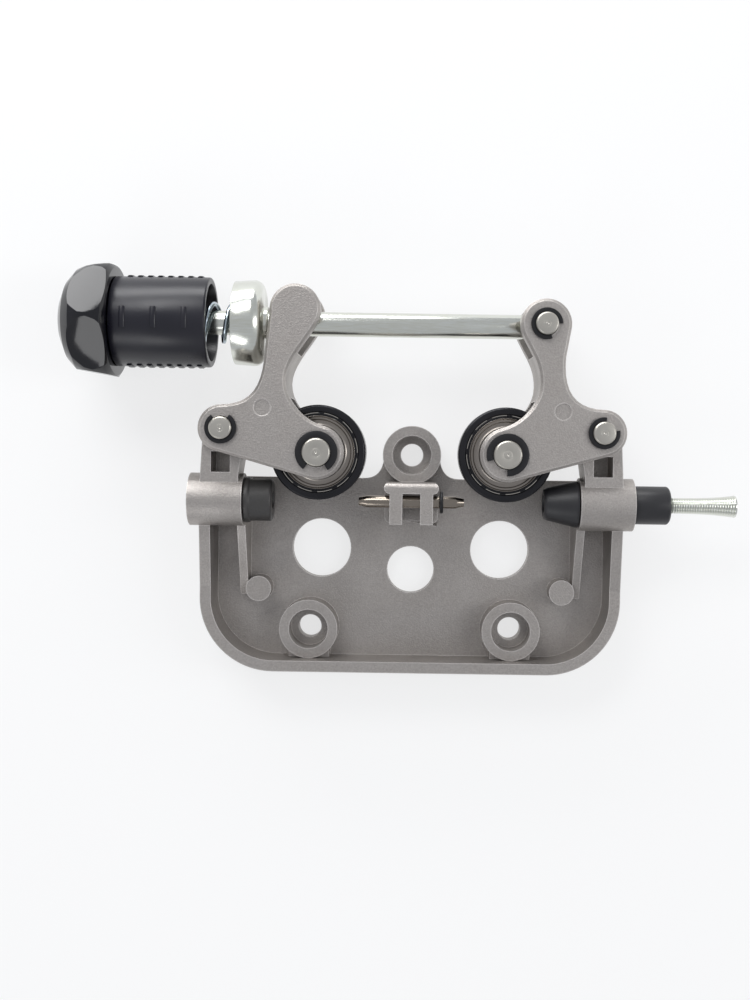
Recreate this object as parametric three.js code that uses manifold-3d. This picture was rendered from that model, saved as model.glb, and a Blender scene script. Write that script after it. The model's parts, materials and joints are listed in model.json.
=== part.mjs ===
// Twin-roll wire feeder bracket for a wire welder.
//
// A die-cast base plate bolts to the machine's wall on three 8 mm studs. Two cast arms swing on pins at its
// sides and each holds a ball-bearing pressure roller against the wire. A tension rod, hinged on the right arm,
// drops into the forked head of the left arm, and its knob squeezes a spring that presses both arms down.
//
// Millimetres. X runs along the wire, Y points up the plate, Z comes out of the machine's wall.
// The origin is on the back face of the plate, half-way between the two lower bolt holes.

import * as THREE from 'three';
import { mergeVertices } from 'three/addons/utils/BufferGeometryUtils.js';
import Module from 'manifold-3d';

const wasm = await Module();
wasm.setup();

// ---------------------------------------------------------------- driving dimensions

const gap = 0.3; // clearance left between pieces that touch or seat
const overlap = 0.5; // how far joined shapes run into each other
const round = 28; // sides of a large round shape
const small = 16; // sides of a small round shape
const fine = 40; // sides of the bosses and holes that show most

// bolt pattern
const boltSpacing = 75; // equal-sided triangle of three bolts
const boltHoleRadius = 4.25;
const boltSinkRadius = 7.2;
const boltSinkFloor = 5;
const boltBossRadius = 10.8;
const boltBossHeight = 14;
const bossWebWidth = 15;
const bossWebHeight = 10;

// base plate
const plateThickness = 4;
const plateHalfWidth = 76.8;
const plateBottom = -14.8;
const plateTop = 56;
const cornerRadius = 27;
const rimHeight = 20;
const rimWall = 4;
const shoulderReach = 18; // half width of the hump that carries the top bolt boss
const driveHoleRadius = 11;
const driveHoleY = 29.5;
const centreHoleRadius = 8.8;
const padRadius = 4.7;
const padHeight = 12;
const padX = 56.4;
const padY = 14.5;
const ribWidth = 3;

// wire line
const wireY = 48;
const wireZ = 24;
const guideBossRadius = 9.5;
const guideBossProud = 3; // beyond the side of the plate
const guideBossLength = 19.5;
const guideBoreRadius = 6.2;

// arms and their pivots
const pivotInset = 9.5; // from the side of the plate
const pivotY = 73.6;
const pivotLugRadius = 8.3;
const pivotPinRadius = 4;
const forkGap = 15; // between the two cheeks of an arm
const cheekThickness = 5.5;
const cheekBevel = 1;
const rollerLugRadius = 9.6;
const headRadius = 9;
const leftHead = { x: 25.4, y: 42.2 }; // from the pivot, towards the middle of the plate
const rightHead = { x: 20.6, y: 38.2 };
const neckOuter = { x: 14.4, y: 22 };
const neckInner = { x: 22.4, y: 17 };
const bridgeLow = 11; // the bridge joins the cheeks across the neck
const bridgeHigh = 27;
const castMarkRadius = 3;
const castMarkDepth = 0.5;

// pressure rollers, each a sealed ball bearing
const rollerReach = 33.7; // from the pivot, along the wire
const rollerRadius = 17;
const rollerWidth = 12;
const rollerBoreRadius = 13.2;
const innerRingRadius = 9.3;
const shieldThickness = 0.8;
const ballRadius = 1.5;
const ballCount = 9;
const cageWidth = 1;
const rollerPinRadius = 5;
const spacerWall = 2.6;
const wireRadius = 0.5;

// pins and clips
const pinHead = 1.5; // how far a pin's head is wider than its shank
const pinHeadThickness = 2;
const pinProud = 2.6; // shank beyond the front cheek
const clipThickness = 1;
const clipDepth = 0.5; // depth of the clip's groove
const smallClipWidth = 1.8;
const largeClipWidth = 2.7;

// tension rod, spring and knob
const rodRadius = 4.4;
const rodEyeRadius = 6.8;
const rodEndRoom = 7; // between the rod's end and the bottom of the cap's bore
const cupClearance = 3.1; // between the cup's face and the arm's head
const cupLength = 10.5;
const cupRadius = 15.5;
const cupWall = 2.5;
const cupNoseRadius = 6;
const cupNose = 1.6;
const springMeanRadius = 6.7;
const springWireRadius = 0.9;
const springTurns = 5;
const springSteps = 8; // to a turn
const springSides = 5;
const seatRise = 0.9; // of the washer over the floor of the grip
const seatThickness = 2;
const seatRadius = 11;
const mouthGap = 8.6; // between the cup and the grip's mouth
const barrelLength = 33.8;
const barrelRadius = 16.6;
const barrelWall = 2.6;
const barrelFloor = 3.6;
const notchCount = 7;
const notchPitch = 4;
const notchWidth = 1.6;
const notchDepth = 0.9;
const capDepth = 20;
const capRadius = 21.8;
const capFlats = 38.6; // across the flats of the six-sided cap
const insertRadius = 7;
const insertProud = 5; // beyond the grip's floor, inside the cap

// guides
const bushShankRadius = guideBoreRadius - gap;
const outletCollarRadius = 6.9;
const outletCollarLength = 13.2;
const bushReach = 12.6; // from the boss towards the roller
const inletReach = 10.3;
const bushBoreRadius = 3.3;
const nozzleInside = 9;
const nozzleLength = 24;
const nozzleRadius = 2.9;
const nozzleMouthRadius = 4.1;
const nozzleBoreRadius = 1.7;
const nozzleCoils = 23;
const coilDepth = 0.35;
const tubeHalfLength = 19;
const tubeRadius = 2.2;
const tubeBoreRadius = 1.1;
const stopRoom = 0.2; // between the stop ring and its holder
const stopWall = 1.8;
const stopWidth = 1.2;
const holderHalfWidth = 9.8;
const holderFinInner = 3.2;
const holderFinOuter = 7.8;
const holderLow = 40;
const holderHigh = 55;
const holderBase = 17;
const holderTop = 28.5;

// ---------------------------------------------------------------- worked out from them

const boltTopY = boltSpacing * Math.sin(Math.PI / 3);
const boltPlaces = [[-boltSpacing / 2, 0], [boltSpacing / 2, 0], [0, boltTopY]];
const forkLow = wireZ - forkGap / 2;
const forkHigh = wireZ + forkGap / 2;
const cheekBack = forkLow - cheekThickness;
const cheekFront = forkHigh + cheekThickness;
const guideBossOuter = plateHalfWidth + guideBossProud;
const guideBossInner = guideBossOuter - guideBossLength;
const pivotX = plateHalfWidth - pivotInset;
const rollerX = pivotX - rollerReach;
const rollerY = wireY + wireRadius + rollerRadius;
const roller = { x: pivotX - rollerX, y: rollerY - pivotY };
const rodPinX = pivotX - rightHead.x;
const rodY = pivotY + rightHead.y;
const cupFace = leftHead.x - pivotX - headRadius - cupClearance;
const cupBack = cupFace - cupLength;
const barrelMouth = cupBack - mouthGap;
const barrelEnd = barrelMouth - barrelLength;
const seatFace = barrelEnd + barrelFloor + seatRise + seatThickness;
const capRim = barrelEnd - gap;
const capTop = capRim - capDepth;
const capBoreEnd = capTop + 0.3 * capDepth;
const rodEnd = capBoreEnd + rodEndRoom;
const outletCollarEnd = guideBossOuter + outletCollarLength;
const nozzleStart = outletCollarEnd - nozzleInside;
const nozzleEnd = outletCollarEnd + nozzleLength;

// ---------------------------------------------------------------- materials

function material(name, color, roughness, metalness) {
  const made = new THREE.MeshStandardMaterial({ color, roughness, metalness });
  made.name = name;
  return made;
}

const castAluminium = material('cast_aluminium', 0x9a938e, 0.6, 0.7);
const zincSteel = material('zinc_steel', 0xc9cbc4, 0.25, 0.95);
const groundSteel = material('ground_steel', 0xb3aea2, 0.3, 0.95);
const blackSteel = material('black_steel', 0x17181b, 0.4, 0.6);
const knobPlastic = material('knob_plastic', 0x24262d, 0.28, 0);
const bushPlastic = material('bush_plastic', 0x1b1c20, 0.5, 0);
const brass = material('brass', 0xb08d4a, 0.35, 0.95);

// ---------------------------------------------------------------- shaping

// Turns a closed three.js geometry into a solid, with its faces pointing out.
function toSolid(geometry) {
  const bare = geometry.clone();
  bare.deleteAttribute('normal');
  bare.deleteAttribute('uv');
  const merged = mergeVertices(bare, 1e-4);
  const position = merged.attributes.position.array;
  const corners = [];
  let volume = 0;
  const a = new THREE.Vector3();
  const b = new THREE.Vector3();
  const c = new THREE.Vector3();
  for (let i = 0; i < merged.index.count; i += 3) {
    const [p, q, r] = merged.index.array.slice(i, i + 3);
    if (p === q || q === r || r === p) continue;
    corners.push(p, q, r);
    volume += a.fromArray(position, 3 * p).dot(b.fromArray(position, 3 * q).cross(c.fromArray(position, 3 * r)));
  }
  if (volume < 0) corners.reverse();
  return new wasm.Manifold(new wasm.Mesh({
    numProp: 3,
    vertProperties: new Float32Array(position),
    triVerts: new Uint32Array(corners),
  }));
}

function toGeometry(solid) {
  const mesh = solid.getMesh();
  const geometry = new THREE.BufferGeometry();
  geometry.setAttribute('position', new THREE.BufferAttribute(new Float32Array(mesh.vertProperties), 3));
  geometry.setIndex(new THREE.BufferAttribute(new Uint32Array(mesh.triVerts), 1));
  geometry.computeVertexNormals();
  return geometry;
}

// A shape pulled up along Z, with its edges broken where bevel is over 0.
function prism(shape, low, high, bevel = 0) {
  const geometry = new THREE.ExtrudeGeometry(shape, {
    depth: high - low - 2 * bevel,
    bevelEnabled: bevel > 0,
    bevelSize: bevel,
    bevelOffset: -bevel,
    bevelThickness: bevel,
    bevelSegments: 1,
    curveSegments: 10,
  });
  return toSolid(geometry.translate(0, 0, low + bevel));
}

function box(low, high) {
  const size = high.map((value, axis) => value - low[axis]);
  const middle = high.map((value, axis) => (value + low[axis]) / 2);
  return toSolid(new THREE.BoxGeometry(...size).translate(...middle));
}

// A round bar along Z at x, y.
function bar(radius, low, high, x = 0, y = 0, sides = small) {
  const geometry = new THREE.CylinderGeometry(radius, radius, high - low, sides);
  return toSolid(geometry.rotateX(Math.PI / 2).translate(x, y, (low + high) / 2));
}

// A round bar along X through the wire line's height, or at y, z.
function crossBar(radius, low, high, y = wireY, z = wireZ, sides = small) {
  const geometry = new THREE.CylinderGeometry(radius, radius, high - low, sides);
  return toSolid(geometry.rotateZ(Math.PI / 2).translate((low + high) / 2, y, z));
}

// A turned piece about Z from a closed profile of [radius, height] points.
function turned(profile, sides = round) {
  const points = [...profile, profile[0]].map(([radius, height]) => new THREE.Vector2(radius, height));
  return toSolid(new THREE.LatheGeometry(points, sides).rotateX(Math.PI / 2));
}

// The same about X, at y and z, from [radius, x] points.
function turnedX(profile, y, z, sides = round) {
  const points = [...profile, profile[0]].map(([radius, along]) => new THREE.Vector2(radius, along));
  return toSolid(new THREE.LatheGeometry(points, sides).rotateZ(-Math.PI / 2).translate(0, y, z));
}

function joined(solids) {
  return solids.reduce((whole, next) => whole.add(next));
}

function cut(solid, tools) {
  return tools.reduce((left, tool) => left.subtract(tool), solid);
}

const feeder = new THREE.Group();
feeder.name = 'wire_feeder';

function place(name, solid, finish, x = 0, y = 0, z = 0) {
  const mesh = new THREE.Mesh(toGeometry(solid), finish);
  mesh.name = name;
  mesh.position.set(x, y, z);
  feeder.add(mesh);
}

// ---------------------------------------------------------------- base plate

// Outline of the plate inside its edge by inset, and open past the top when a rim is hollowed out with it.
function plateOutline(inset, top, hump) {
  const side = plateHalfWidth - inset;
  const low = plateBottom + inset;
  const corner = cornerRadius - inset;
  const shape = new THREE.Shape();
  shape.moveTo(-side + corner, low);
  shape.lineTo(side - corner, low);
  shape.absarc(side - corner, low + corner, corner, -Math.PI / 2, 0, false);
  shape.lineTo(side, top);
  if (hump) {
    shape.lineTo(shoulderReach, top);
    shape.quadraticCurveTo(boltBossRadius, top, boltBossRadius - gap, boltTopY);
    shape.lineTo(-boltBossRadius + gap, boltTopY);
    shape.quadraticCurveTo(-boltBossRadius, top, -shoulderReach, top);
  }
  shape.lineTo(-side, top);
  shape.lineTo(-side, low + corner);
  shape.absarc(-side + corner, low + corner, corner, Math.PI, 1.5 * Math.PI, false);
  return shape;
}

// The lug between an arm's cheeks, standing on the guide boss. side is -1 on the left and 1 on the right.
function pivotLug(side) {
  const lugRadius = pivotLugRadius - 1;
  const foot = pivotX - guideBossInner - ribWidth / 2;
  const shape = new THREE.Shape();
  shape.moveTo(-foot, wireY);
  shape.lineTo(plateHalfWidth - pivotX - 1, wireY);
  shape.lineTo(lugRadius, pivotY);
  shape.absarc(0, pivotY, lugRadius, 0, Math.PI, false);
  shape.lineTo(-lugRadius, pivotY - lugRadius / 2);
  shape.lineTo(-foot, wireY + guideBossRadius);
  const lug = prism(shape, forkLow + gap + 0.2, forkHigh - gap - 0.2);
  const pocket = box(
    [-foot + ribWidth, wireY + guideBossRadius + 0.5, forkLow + ribWidth],
    [lugRadius - ribWidth, pivotY - lugRadius - 1, forkHigh + overlap],
  );
  const placed = lug.subtract(pocket).translate([pivotX, 0, 0]);
  return side < 0 ? placed.mirror([1, 0, 0]) : placed;
}

function guideSupport(side) {
  const inner = guideBossInner;
  // both walls are drawn from the side, with the height above the plate's back along the first axis
  const outerSide = new THREE.Shape();
  outerSide.moveTo(0, padY);
  outerSide.lineTo(rimHeight - gap, padY);
  outerSide.lineTo(wireZ, wireY - guideBossRadius);
  outerSide.lineTo(wireZ, wireY + guideBossRadius - 1);
  outerSide.lineTo(0, wireY + guideBossRadius - 1);
  const outerWall = prism(outerSide, 0, rimWall).rotate([0, -90, 0]).translate([plateHalfWidth, 0, 0]);
  const ribSide = new THREE.Shape();
  ribSide.moveTo(0, padY - padRadius / 2);
  ribSide.lineTo(padHeight - 3, padY - padRadius / 2);
  ribSide.lineTo(wireZ, wireY - guideBossRadius / 2);
  ribSide.lineTo(wireZ, wireY + guideBossRadius / 2);
  ribSide.lineTo(0, plateTop);
  const rib = prism(ribSide, 0, ribWidth).rotate([0, -90, 0]).translate([inner + ribWidth, 0, 0]);
  const boss = crossBar(guideBossRadius, inner, guideBossOuter, wireY, wireZ, fine);
  const shelf = box([inner, wireY - guideBossRadius / 2, 0], [plateHalfWidth, wireY, wireZ - guideBossRadius / 2]);
  const whole = joined([outerWall, rib, boss, shelf]);
  return side < 0 ? whole.mirror([1, 0, 0]) : whole;
}

function tubeHolder() {
  const foot = box([-holderHalfWidth, holderLow, 0], [holderHalfWidth, holderHigh, holderBase]);
  const bridge = box([-holderHalfWidth, holderHigh - 4, 0], [holderHalfWidth, holderHigh, holderTop]);
  const fins = [-1, 1].map((side) => {
    const fin = box([holderFinInner, holderLow, 0], [holderFinOuter, holderHigh, holderTop]);
    return side < 0 ? fin.mirror([1, 0, 0]) : fin;
  });
  const bore = crossBar(tubeRadius + gap, -holderHalfWidth - 1, holderHalfWidth + 1);
  const slot = box(
    [-holderFinInner, holderLow - 1, plateThickness + 2],
    [holderFinInner, holderHigh - 4, holderTop + 1],
  );
  return joined([foot, bridge, ...fins]).subtract(bore).subtract(slot);
}

function basePlate() {
  const floor = prism(plateOutline(0, plateTop, true), 0, plateThickness);
  const rim = prism(plateOutline(0, plateTop, false), 0, rimHeight)
    .subtract(prism(plateOutline(rimWall, plateTop + 5, false), -1, rimHeight + 1));
  const bosses = boltPlaces.map(([x, y]) => bar(boltBossRadius, 0, boltBossHeight, x, y, fine));
  const webs = [-1, 1].map((side) => {
    const middle = side * boltSpacing / 2;
    return box(
      [middle - bossWebWidth / 2, plateBottom + rimWall / 2, 0],
      [middle + bossWebWidth / 2, 0, bossWebHeight],
    );
  });
  const pads = [-1, 1].map((side) => bar(padRadius, 0, padHeight, side * padX, padY, round));
  const casting = joined([
    floor, rim, ...bosses, ...webs, ...pads, tubeHolder(),
    guideSupport(-1), guideSupport(1), pivotLug(-1), pivotLug(1),
  ]);
  const boltHoles = boltPlaces.map(([x, y]) => bar(boltHoleRadius, -1, boltBossHeight + 1, x, y, round));
  const sinks = boltPlaces.map(([x, y]) => bar(boltSinkRadius, boltSinkFloor, boltBossHeight + 1, x, y, fine));
  const driveHoles = [-1, 1].map(
    (side) => bar(driveHoleRadius, -1, plateThickness + 1, side * rollerX, driveHoleY, fine),
  );
  const centreHole = bar(centreHoleRadius, -1, plateThickness + 1, 0, boltTopY / 3, fine);
  const bores = [-1, 1].map((side) => {
    const bore = crossBar(guideBoreRadius, guideBossInner - 5, guideBossOuter + 5);
    return side < 0 ? bore.mirror([1, 0, 0]) : bore;
  });
  const pinHoles = [-1, 1].map((side) => bar(pivotPinRadius + gap, 0, cheekFront, side * pivotX, pivotY));
  return cut(casting, [...boltHoles, ...sinks, ...driveHoles, centreHole, ...bores, ...pinHoles]);
}

place('base_plate', basePlate(), castAluminium);

// ---------------------------------------------------------------- arms

// Outline of one cheek, drawn from the pivot with the middle of the plate to the right.
function armOutline(head) {
  const reach = Math.hypot(roller.x, roller.y);
  const lean = Math.atan2(roller.y, roller.x);
  const tangent = lean - Math.acos((pivotLugRadius - rollerLugRadius) / reach);
  const lugTop = THREE.MathUtils.degToRad(75);
  const headStart = THREE.MathUtils.degToRad(-25);
  const headEnd = THREE.MathUtils.degToRad(185);
  const pivotTop = THREE.MathUtils.degToRad(95);
  const onCircle = (centre, radius, angle) => [
    centre.x + radius * Math.cos(angle),
    centre.y + radius * Math.sin(angle),
  ];
  const [lugX, lugY] = onCircle(roller, rollerLugRadius, lugTop);
  const [headX, headY] = onCircle(head, headRadius, headStart);
  const [backX, backY] = onCircle(head, headRadius, headEnd);
  const [topX, topY] = onCircle({ x: 0, y: 0 }, pivotLugRadius, pivotTop);
  const pull = headRadius * 0.8; // how strongly the curves leave their circles
  const shape = new THREE.Shape();
  shape.moveTo(...onCircle({ x: 0, y: 0 }, pivotLugRadius, tangent));
  shape.lineTo(...onCircle(roller, rollerLugRadius, tangent));
  shape.absarc(roller.x, roller.y, rollerLugRadius, tangent, lugTop, false);
  shape.bezierCurveTo(lugX - pull, lugY + pull / 4, neckInner.x, neckInner.y - pull, neckInner.x, neckInner.y);
  shape.bezierCurveTo(neckInner.x, neckInner.y + pull, headX - pull / 2, headY - pull, headX, headY);
  shape.absarc(head.x, head.y, headRadius, headStart, headEnd, false);
  shape.lineTo(neckOuter.x + (backX - neckOuter.x) * 0.3, neckOuter.y + (backY - neckOuter.y) * 0.3);
  shape.bezierCurveTo(neckOuter.x, neckOuter.y - pull, topX + 1.6 * pull, topY, topX, topY);
  shape.absarc(0, 0, pivotLugRadius, pivotTop, tangent + 2 * Math.PI, false);
  return shape;
}

function arm(head, pinInHead) {
  const block = prism(armOutline(head), cheekBack, cheekFront, cheekBevel);
  const reach = Math.hypot(head.x, head.y) + roller.x; // further than any part of the outline
  const slots = [
    box([-reach, -reach, forkLow], [reach, bridgeLow, forkHigh]),
    box([-reach, bridgeHigh, forkLow], [reach, reach, forkHigh]),
  ];
  const holes = [
    bar(pivotPinRadius + gap, 0, cheekFront + 1),
    bar(rollerPinRadius + gap, 0, cheekFront + 1, roller.x, roller.y),
  ];
  if (pinInHead) holes.push(bar(pivotPinRadius + gap, 0, cheekFront + 1, head.x, head.y));
  const mark = bar(castMarkRadius, cheekFront - castMarkDepth, cheekFront + 1, neckOuter.x, neckOuter.y / 3);
  return cut(block, [...slots, ...holes, mark]);
}

place('left_arm', arm(leftHead, false), castAluminium, -pivotX, pivotY);
place('right_arm', arm(rightHead, true).mirror([1, 0, 0]), castAluminium, pivotX, pivotY);

// ---------------------------------------------------------------- pins and clips

// A pin with a flat head behind the back cheek and a clip groove in front of the front cheek.
function pin(radius) {
  const headTop = cheekBack - gap;
  const grooveLow = cheekFront + gap / 2;
  const grooveHigh = grooveLow + clipThickness + gap;
  const end = cheekFront + pinProud;
  return turned([
    [0, headTop - pinHeadThickness], [radius + pinHead, headTop - pinHeadThickness], [radius + pinHead, headTop],
    [radius, headTop], [radius, grooveLow], [radius - clipDepth, grooveLow], [radius - clipDepth, grooveHigh],
    [radius, grooveHigh], [radius, end - 0.5], [radius - 0.5, end], [0, end],
  ], small);
}

// An open spring clip that sits in the groove.
function clip(radius, facing) {
  const inside = radius - clipDepth + gap;
  const outside = inside + (radius > pivotPinRadius ? largeClipWidth : smallClipWidth);
  const half = THREE.MathUtils.degToRad(35);
  const shape = new THREE.Shape();
  shape.absarc(0, 0, outside, facing + half, facing + 2 * Math.PI - half, false);
  shape.absarc(0, 0, inside, facing + 2 * Math.PI - half, facing + half, true);
  return prism(shape, cheekFront + gap, cheekFront + gap + clipThickness);
}

const pinPlaces = [
  { name: 'left_pivot', radius: pivotPinRadius, x: -pivotX, y: pivotY, facing: 1.6 },
  { name: 'right_pivot', radius: pivotPinRadius, x: pivotX, y: pivotY, facing: 0.8 },
  { name: 'left_roller', radius: rollerPinRadius, x: -rollerX, y: rollerY, facing: -1.6 },
  { name: 'right_roller', radius: rollerPinRadius, x: rollerX, y: rollerY, facing: -2.2 },
  { name: 'rod', radius: pivotPinRadius, x: rodPinX, y: rodY, facing: -0.6 },
];
for (const spot of pinPlaces) {
  place(`${spot.name}_pin`, pin(spot.radius), groundSteel, spot.x, spot.y);
  place(`${spot.name}_clip`, clip(spot.radius, spot.facing), blackSteel, spot.x, spot.y);
}

// ---------------------------------------------------------------- pressure rollers

const rollerLow = wireZ - rollerWidth / 2;
const rollerHigh = wireZ + rollerWidth / 2;
const shieldInner = innerRingRadius + gap;

// Outer ring with a shield crimped into each face.
function outerRing() {
  const lip = 0.6;
  return turned([
    [rollerRadius - lip, rollerLow], [rollerRadius, rollerLow + lip], [rollerRadius, rollerHigh - lip],
    [rollerRadius - lip, rollerHigh], [rollerBoreRadius, rollerHigh], [rollerBoreRadius - lip, rollerHigh - lip],
    [shieldInner, rollerHigh - lip], [shieldInner, rollerHigh - lip - shieldThickness],
    [rollerBoreRadius, rollerHigh - lip - shieldThickness], [rollerBoreRadius, rollerLow + lip + shieldThickness],
    [shieldInner, rollerLow + lip + shieldThickness], [shieldInner, rollerLow + lip],
    [rollerBoreRadius - lip, rollerLow + lip], [rollerBoreRadius, rollerLow],
  ], round);
}

function innerRing() {
  const bore = rollerPinRadius + gap;
  const chamfer = 0.6;
  return turned([
    [bore, rollerLow], [innerRingRadius - chamfer, rollerLow], [innerRingRadius, rollerLow + chamfer],
    [innerRingRadius, rollerHigh - chamfer], [innerRingRadius - chamfer, rollerHigh], [bore, rollerHigh],
  ], round);
}

// The balls, held apart by their ring-shaped cage.
function ballCage() {
  const track = (innerRingRadius + rollerBoreRadius) / 2;
  const ball = toSolid(new THREE.IcosahedronGeometry(ballRadius, 0));
  const balls = Array.from({ length: ballCount }, (_, number) => {
    const angle = 2 * Math.PI * number / ballCount;
    return ball.translate([track * Math.cos(angle), track * Math.sin(angle), wireZ]);
  });
  const half = cageWidth / 2;
  const cage = turned([
    [track - half, wireZ - half], [track + half, wireZ - half], [track + half, wireZ + half],
    [track - half, wireZ + half],
  ], 18);
  return joined([cage, ...balls]);
}

// A thin spacer that keeps the inner ring off a cheek.
function spacer(low) {
  const radius = rollerPinRadius + spacerWall;
  const bore = rollerPinRadius + gap;
  const high = low + (forkGap - rollerWidth) / 2 - 2 * gap;
  return turned([[bore, low], [radius, low], [radius, high], [bore, high]], small);
}

for (const [side, x] of [['left', -rollerX], ['right', rollerX]]) {
  place(`${side}_roller_ring`, outerRing(), blackSteel, x, rollerY);
  place(`${side}_roller_inner_ring`, innerRing(), groundSteel, x, rollerY);
  place(`${side}_roller_ball_cage`, ballCage(), groundSteel, x, rollerY);
  place(`${side}_roller_back_spacer`, spacer(forkLow + gap), groundSteel, x, rollerY);
  place(`${side}_roller_front_spacer`, spacer(rollerHigh + gap), groundSteel, x, rollerY);
}

// ---------------------------------------------------------------- tension rod, spring and knob

function tensionRod() {
  const shaft = turnedX([
    [0, rodPinX - overlap], [rodRadius, rodPinX - overlap], [rodRadius, rodEnd + 1], [rodRadius - 1, rodEnd], [0, rodEnd],
  ], rodY, wireZ, small);
  const eye = bar(rodEyeRadius, forkLow + gap, forkHigh - gap, rodPinX, rodY, round);
  return shaft.add(eye).subtract(bar(pivotPinRadius + gap, 0, cheekFront, rodPinX, rodY));
}

// The cup that bears on the left arm's forked head and seats the spring.
function cupWasher() {
  const bore = rodRadius + gap;
  const fillet = 3;
  return turnedX([
    [bore, cupFace + cupNose], [cupNoseRadius, cupFace + cupNose], [cupNoseRadius, cupFace],
    [cupRadius - fillet, cupFace], [cupRadius - fillet * 0.3, cupFace - fillet * 0.3], [cupRadius, cupFace - fillet],
    [cupRadius, cupBack], [cupRadius - cupWall, cupBack], [cupRadius - cupWall, cupBack + cupWall],
    [bore, cupBack + cupWall],
  ], rodY, wireZ);
}

// The least distance between the wire's surface points that lie over half a turn apart along it.
function leastGap(rings) {
  const apart = springSteps / 2 + 1;
  let least = Infinity;
  for (let here = 0; here + apart < rings.length; here += 1) {
    for (const there of rings.slice(here + apart)) {
      for (const point of rings[here]) {
        for (const other of there) least = Math.min(least, point.distanceTo(other));
      }
    }
  }
  return least;
}

// One unbroken round wire, wound along the rod between the cup and the seat washer.
function tensionSpring() {
  const start = cupBack + cupWall - gap - springWireRadius;
  const end = seatFace + gap + springWireRadius;
  const steps = springTurns * springSteps;
  const faces = [];
  const centre = (t) => new THREE.Vector3(
    start + (end - start) * t,
    rodY + springMeanRadius * Math.cos(2 * Math.PI * springTurns * t),
    wireZ + springMeanRadius * Math.sin(2 * Math.PI * springTurns * t),
  );
  const rings = Array.from({ length: steps + 1 }, (_, step) => {
    const t = step / steps;
    const middle = centre(t);
    const along = centre(t + 1e-4).sub(centre(t - 1e-4)).normalize();
    const outward = new THREE.Vector3(0, middle.y - rodY, middle.z - wireZ).normalize();
    const across = along.clone().cross(outward).normalize();
    return Array.from({ length: springSides }, (__, side) => {
      const angle = 2 * Math.PI * side / springSides;
      return middle.clone()
        .addScaledVector(outward, springWireRadius * Math.cos(angle))
        .addScaledVector(across, springWireRadius * Math.sin(angle));
    });
  });
  for (let step = 0; step < steps; step += 1) {
    for (let side = 0; side < springSides; side += 1) {
      const a = step * springSides + side;
      const b = step * springSides + (side + 1) % springSides;
      faces.push(a, b, b + springSides, a, b + springSides, a + springSides);
    }
  }
  const last = steps * springSides;
  for (let side = 1; side < springSides - 1; side += 1) {
    faces.push(0, side + 1, side, last, last + side, last + side + 1);
  }
  console.log(`least gap between the spring's turns: ${leastGap(rings).toFixed(2)} mm`);
  const points = rings.flat().flatMap((point) => point.toArray());
  const geometry = new THREE.BufferGeometry();
  geometry.setAttribute('position', new THREE.BufferAttribute(new Float32Array(points), 3));
  geometry.setIndex(faces);
  return toSolid(geometry);
}

function seatWasher() {
  const bore = rodRadius + gap;
  return turnedX([
    [bore, seatFace], [seatRadius, seatFace], [seatRadius, seatFace - seatThickness], [bore, seatFace - seatThickness],
  ], rodY, wireZ, small);
}

// The hollow grip, open towards the spring, with a row of notches along its top and bottom.
function knobBarrel() {
  const floor = barrelEnd + barrelFloor;
  const barrel = turnedX([
    [insertRadius + gap, barrelEnd], [barrelRadius, barrelEnd], [barrelRadius, barrelMouth],
    [barrelRadius - barrelWall, barrelMouth], [barrelRadius - barrelWall - 0.4, floor], [insertRadius + gap, floor],
  ], rodY, wireZ);
  const first = (barrelMouth + barrelEnd) / 2 - notchPitch * (notchCount - 1) / 2;
  const notches = [];
  for (let number = 0; number < notchCount; number += 1) {
    const x = first + number * notchPitch;
    for (const side of [-1, 1]) {
      const y = rodY + side * (barrelRadius - notchDepth / 2);
      notches.push(box(
        [x - notchWidth / 2, y - notchDepth / 2 - gap / 2, wireZ - barrelRadius / 2],
        [x + notchWidth / 2, y + notchDepth, wireZ + barrelRadius / 2],
      ));
    }
  }
  return cut(barrel, notches);
}

// Threaded metal insert, moulded into the knob and running on the rod.
function threadedInsert() {
  const bore = rodRadius + gap;
  const end = seatFace - seatThickness - gap;
  return turnedX([
    [bore, end], [insertRadius, end], [insertRadius, barrelEnd - insertProud], [bore, barrelEnd - insertProud],
  ], rodY, wireZ, small);
}

// Six-sided domed cap over the end of the grip.
function knobCap() {
  const depth = capRim - capTop;
  const dome = turnedX([
    [0, capTop], [capRadius * 0.3, capTop + depth * 0.02], [capRadius * 0.58, capTop + depth * 0.12],
    [capRadius * 0.8, capTop + depth * 0.3], [capRadius * 0.95, capTop + depth * 0.52],
    [capRadius, capTop + depth * 0.7], [capRadius, capTop + depth * 0.85], [capRadius * 0.9, capRim],
    [insertRadius + gap, capRim], [insertRadius + gap, capBoreEnd], [0, capBoreEnd],
  ], rodY, wireZ, 36);
  const hex = new THREE.CylinderGeometry(capFlats / Math.sqrt(3), capFlats / Math.sqrt(3), 2 * depth, 6);
  const prismHex = toSolid(hex.rotateZ(Math.PI / 2).translate((capRim + capTop) / 2, rodY, wireZ));
  return dome.intersect(prismHex);
}

place('tension_rod', tensionRod(), zincSteel);
place('cup_washer', cupWasher(), zincSteel);
place('tension_spring', tensionSpring(), zincSteel);
place('seat_washer', seatWasher(), zincSteel);
place('threaded_insert', threadedInsert(), brass);
place('knob_barrel', knobBarrel(), knobPlastic);
place('knob_cap', knobCap(), knobPlastic);

// ---------------------------------------------------------------- wire guides

// Inlet bush on the left, with a plain round nose that points at the left roller.
function inletBush() {
  const nose = guideBossRadius - 1.3;
  const tip = -guideBossInner + inletReach;
  return turnedX([
    [bushBoreRadius, -guideBossOuter + gap], [bushShankRadius, -guideBossOuter + gap],
    [bushShankRadius, -guideBossInner + gap], [nose, -guideBossInner + gap], [nose, -guideBossInner + 2],
    [nose - 0.6, -guideBossInner + 2.4], [nose - 0.6, tip - 0.6], [nose - 1.2, tip], [bushBoreRadius, tip],
  ], wireY, wireZ, round);
}

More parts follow.
